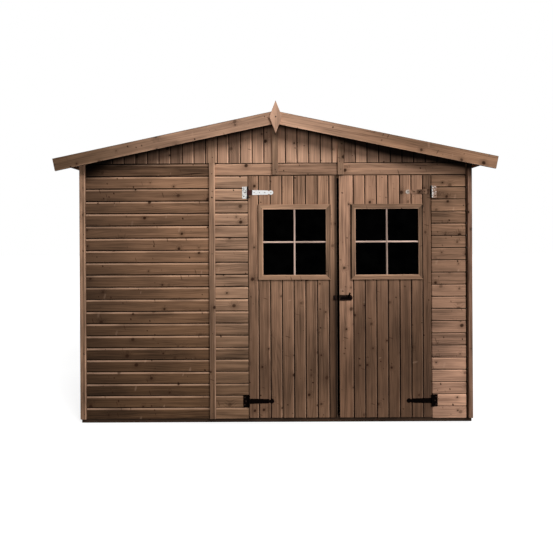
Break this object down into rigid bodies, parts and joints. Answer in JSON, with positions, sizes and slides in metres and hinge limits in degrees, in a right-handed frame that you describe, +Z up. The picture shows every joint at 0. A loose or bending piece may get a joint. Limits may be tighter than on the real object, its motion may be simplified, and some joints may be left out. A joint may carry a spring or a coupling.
{
  "type": "garden shed",
  "caption": "Wooden garden shed with a low gabled roof, board cladding and a pair of hinged doors with windows and a sliding bolt.",
  "frame": {"origin": "on the ground, at the centre of the shed's overall outline", "axes": "+X to the right seen from the front, -Y out of the front gable with the doors, +Z up"},
  "size_m": [3.2, 2.252, 2.3523],
  "materials": {
    "wall_boards": "brown-stained sawn boards with knots",
    "door_boards": "brown-stained planed boards with knots",
    "roof_trim": "pale brown stain, worn",
    "inner_wood": "bare sawn softwood",
    "roof_felt": "matt mineral felt",
    "window_glass": "dark, clear",
    "bright_metal": "zinc plated, spotted",
    "brown_metal": "dull brown",
    "black_metal": "black, worn"
  },
  "bodies": {
    "shed": {"base_rails": "wall_boards", "floor_bearers": "inner_wood", "floor_deck": "inner_wood", "end_wall_posts": "inner_wood", "side_wall_posts": "inner_wood", "end_wall_rails": "inner_wood", "wall_plates": "inner_wood", "gable_posts": "inner_wood", "front_left_cladding": "wall_boards", "front_strip_cladding": "wall_boards", "front_header_cladding": "wall_boards", "front_gable_cladding": "wall_boards", "rear_cladding": "wall_boards", "rear_gable_cladding": "wall_boards", "left_cladding": "wall_boards", "right_cladding": "wall_boards", "corner_trims": "wall_boards", "front_cover_battens": "wall_boards", "rear_cover_battens": "wall_boards", "side_cover_battens": "wall_boards", "roof_purlins": "inner_wood", "left_roof_boards": "inner_wood", "right_roof_boards": "inner_wood", "roof_felt": "roof_felt", "eave_fascias": "roof_trim", "front_bargeboards": "roof_trim", "rear_bargeboards": "roof_trim", "gable_finials": "roof_trim", "upper_hinge_plates": "bright_metal", "lower_hinge_plates": "black_metal"},
    "left_door": {"left_door_boards": "door_boards", "left_door_ledges": "inner_wood", "left_window_frame": "door_boards", "left_window_glass": "window_glass", "left_upper_hinge_strap": "bright_metal", "left_lower_hinge_strap": "black_metal", "latch_keeper": "black_metal"},
    "right_door": {"right_door_boards": "door_boards", "right_door_ledges": "inner_wood", "right_window_frame": "door_boards", "right_window_glass": "window_glass", "right_upper_hinge_strap": "brown_metal", "right_lower_hinge_strap": "black_metal", "latch_body": "black_metal"},
    "bolt": {"latch_bolt": "black_metal"}
  },
  "joints": [
    {"name": "left_door_hinge", "type": "hinge", "parent": "shed", "child": "left_door", "pos_m": [-0.203, -0.9795, 0.92], "axis": [0, 0, -1], "range_deg": [0, 165]},
    {"name": "right_door_hinge", "type": "hinge", "parent": "shed", "child": "right_door", "pos_m": [1.149, -0.9795, 0.92], "axis": [0, 0, 1], "range_deg": [0, 165]},
    {"name": "bolt_slide", "type": "slide", "parent": "right_door", "child": "bolt", "axis": [-1, 0, 0], "range_m": [0, 0.044]}
  ]
}
